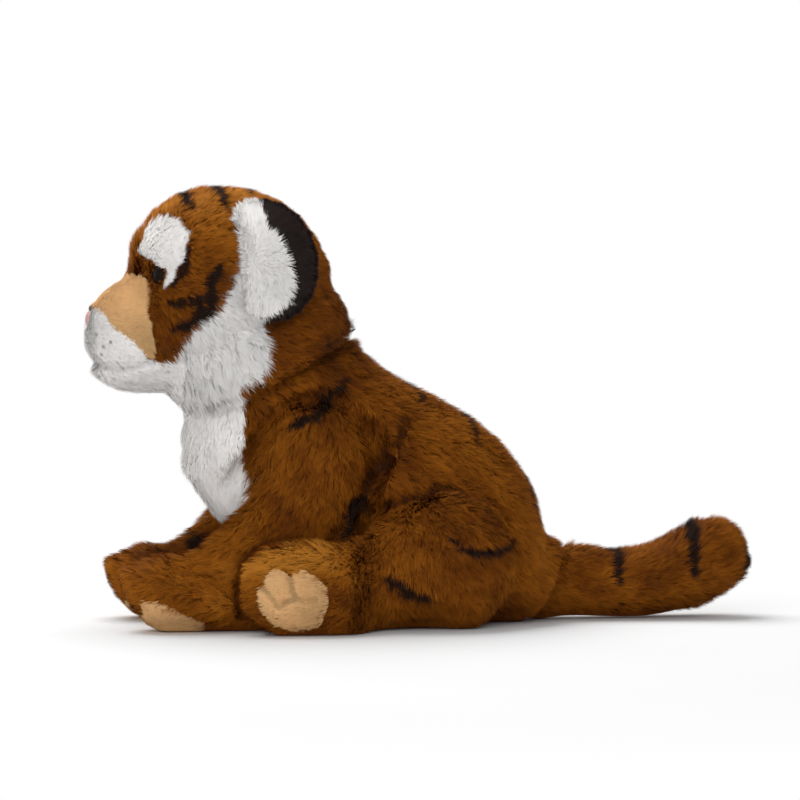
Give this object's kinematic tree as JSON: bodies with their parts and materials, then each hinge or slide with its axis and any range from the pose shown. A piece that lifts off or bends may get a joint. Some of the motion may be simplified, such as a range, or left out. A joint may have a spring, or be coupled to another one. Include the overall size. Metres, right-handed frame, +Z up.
{
  "type": "sitting plush tiger",
  "caption": "Sitting plush tiger with a head that turns and nods, folding ears, legs that lift and a tail that swings.",
  "frame": {"origin": "middle of the flat seat on the floor, under the hips", "axes": "+Z up, the tiger faces -Y, its left side is +X"},
  "size_m": [0.1718, 0.3537, 0.2283],
  "materials": {
    "brown_plush": "long brown pile",
    "white_plush": "long white pile",
    "black_plush": "long black pile",
    "tan_velour": "short tan pile",
    "pink_thread": "satin-stitched pink thread",
    "eye_plastic": "gloss black",
    "clear_nylon": "translucent white",
    "polyester_fill": "loose white fibre",
    "pellet_cloth": "woven white cloth"
  },
  "bodies": {
    "torso": {"torso_skin": "brown_plush", "chest_panel": "white_plush", "torso_stuffing": "polyester_fill", "seat_pellet_bag": "pellet_cloth"},
    "neck": {"neck_plug": "polyester_fill"},
    "head": {"head_skin": "brown_plush", "head_stuffing": "polyester_fill", "muzzle_bridge": "tan_velour", "whisker_pad_left": "white_plush", "whisker_pad_right": "white_plush", "chin": "white_plush", "cheek_ruff_left": "white_plush", "cheek_ruff_right": "white_plush", "brow_patch_left": "white_plush", "brow_patch_right": "white_plush", "eye_left": "eye_plastic", "eye_right": "eye_plastic", "eye_washer_left": "clear_nylon", "eye_washer_right": "clear_nylon", "nose": "pink_thread"},
    "ear_left": {"ear_back_left": "black_plush", "ear_lining_left": "white_plush"},
    "foreleg_left": {"foreleg_skin_left": "brown_plush", "foreleg_stuffing_left": "polyester_fill", "forepaw_pad_left": "tan_velour"},
    "hindleg_left": {"hindleg_skin_left": "brown_plush", "hindleg_stuffing_left": "polyester_fill", "hindpaw_pad_left": "tan_velour"},
    "ear_right": {"ear_back_right": "black_plush", "ear_lining_right": "white_plush"},
    "foreleg_right": {"foreleg_skin_right": "brown_plush", "foreleg_stuffing_right": "polyester_fill", "forepaw_pad_right": "tan_velour"},
    "hindleg_right": {"hindleg_skin_right": "brown_plush", "hindleg_stuffing_right": "polyester_fill", "hindpaw_pad_right": "tan_velour"},
    "tail": {"tail_skin": "brown_plush", "tail_stuffing": "polyester_fill"}
  },
  "joints": [
    {"name": "neck_turn", "type": "hinge", "parent": "torso", "child": "neck", "pos_m": [0, -0.07435, 0.10275], "axis": [0, -0.454, 0.891], "range_deg": [-25, 25], "stiffness_Nm_per_rad": 1.5},
    {"name": "neck_nod", "type": "hinge", "parent": "neck", "child": "head", "pos_m": [0, -0.07435, 0.10275], "axis": [1, 0, 0], "range_deg": [-12, 12], "stiffness_Nm_per_rad": 3},
    {"name": "ear_fold_left", "type": "hinge", "parent": "head", "child": "ear_left", "pos_m": [0.04667, -0.1052, 0.18734], "axis": [-0.3977, -0.2322, 0.8876], "range_deg": [-20, 10], "stiffness_Nm_per_rad": 0.02},
    {"name": "ear_fold_right", "type": "hinge", "parent": "head", "child": "ear_right", "pos_m": [-0.04667, -0.1052, 0.18734], "axis": [-0.3977, 0.2322, -0.8876], "range_deg": [-20, 10], "stiffness_Nm_per_rad": 0.02},
    {"name": "shoulder_left", "type": "hinge", "parent": "torso", "child": "foreleg_left", "pos_m": [0.024, -0.068, 0.092], "axis": [-1, 0, 0], "range_deg": [0, 15], "stiffness_Nm_per_rad": 0.8},
    {"name": "shoulder_right", "type": "hinge", "parent": "torso", "child": "foreleg_right", "pos_m": [-0.024, -0.068, 0.092], "axis": [-1, 0, 0], "range_deg": [0, 15], "stiffness_Nm_per_rad": 0.8},
    {"name": "hip_left", "type": "hinge", "parent": "torso", "child": "hindleg_left", "pos_m": [0.034, -0.003, 0.035], "axis": [-1, 0, 0], "range_deg": [0, 18], "stiffness_Nm_per_rad": 0.8},
    {"name": "hip_right", "type": "hinge", "parent": "torso", "child": "hindleg_right", "pos_m": [-0.034, -0.003, 0.035], "axis": [-1, 0, 0], "range_deg": [0, 18], "stiffness_Nm_per_rad": 0.8},
    {"name": "tail_swing", "type": "hinge", "parent": "torso", "child": "tail", "pos_m": [0, 0.055, 0.0191], "axis": [0, 0, 1], "range_deg": [-12, 12], "stiffness_Nm_per_rad": 0.4}
  ]
}
